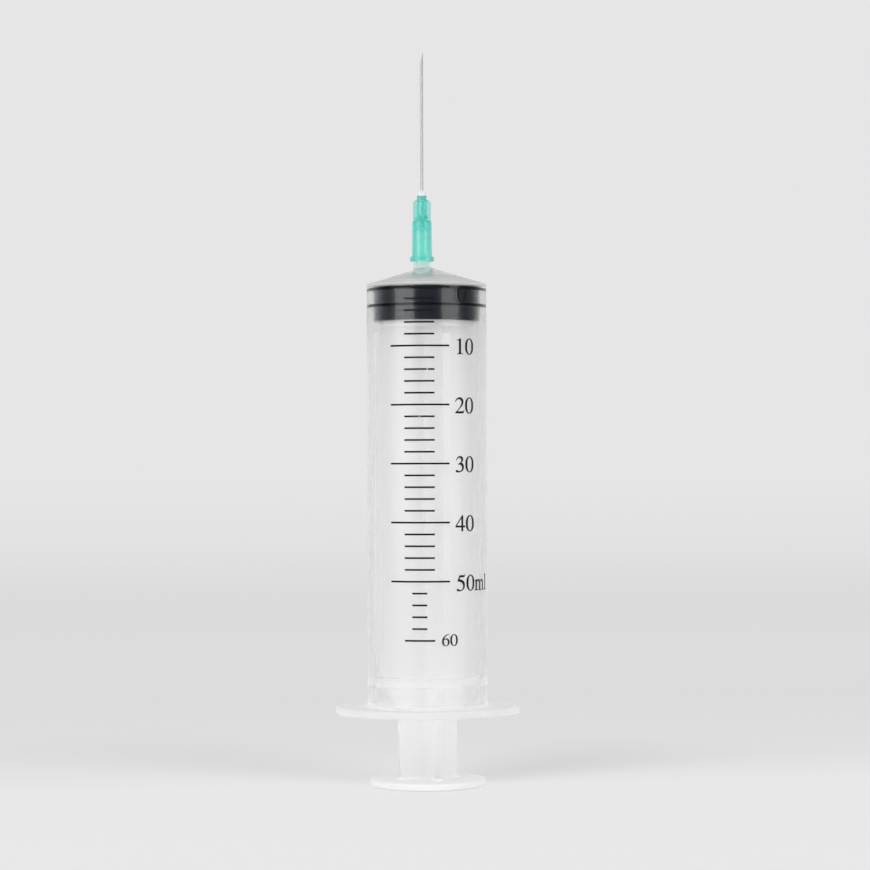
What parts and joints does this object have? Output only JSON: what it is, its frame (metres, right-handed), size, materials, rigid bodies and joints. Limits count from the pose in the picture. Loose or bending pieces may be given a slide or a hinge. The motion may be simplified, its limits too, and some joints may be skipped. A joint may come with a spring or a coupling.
{
  "type": "syringe",
  "caption": "Clear slip-tip syringe with finger flange, cross-shaped plunger, black ribbed stopper and a fine steel needle on a green finned hub.",
  "frame": {"origin": "centre of the thumb disc's underside, on the barrel's axis, with the plunger pushed home", "axes": "+Z along the barrel towards the needle, X along the length of the finger flange, -Y to the side with the scale"},
  "size_m": [0.0478, 0.0392, 0.194],
  "materials": {
    "barrel_plastic": "clear polypropylene with a slight haze",
    "scale_ink": "black print",
    "rod_plastic": "natural polypropylene, hazy and slightly see-through",
    "stopper_rubber": "black moulded rubber with a film of silicone oil",
    "hub_plastic": "clear green polypropylene",
    "cannula_steel": "bright drawn stainless steel",
    "adhesive": "clear cured resin"
  },
  "bodies": {
    "barrel_body": {"barrel": "barrel_plastic", "graduation_marks": "scale_ink"},
    "plunger": {"plunger_rod": "rod_plastic", "stopper": "stopper_rubber"},
    "needle": {"needle_hub": "hub_plastic", "needle_cannula": "cannula_steel", "needle_adhesive": "adhesive"}
  },
  "joints": [
    {"name": "plunger_draw", "type": "slide", "parent": "barrel_body", "child": "plunger", "axis": [0, 0, -1], "range_m": [0, 0.0969]},
    {"name": "needle_pull_off", "type": "slide", "parent": "barrel_body", "child": "needle", "axis": [0, 0, 1], "range_m": [0, 0.012]}
  ]
}
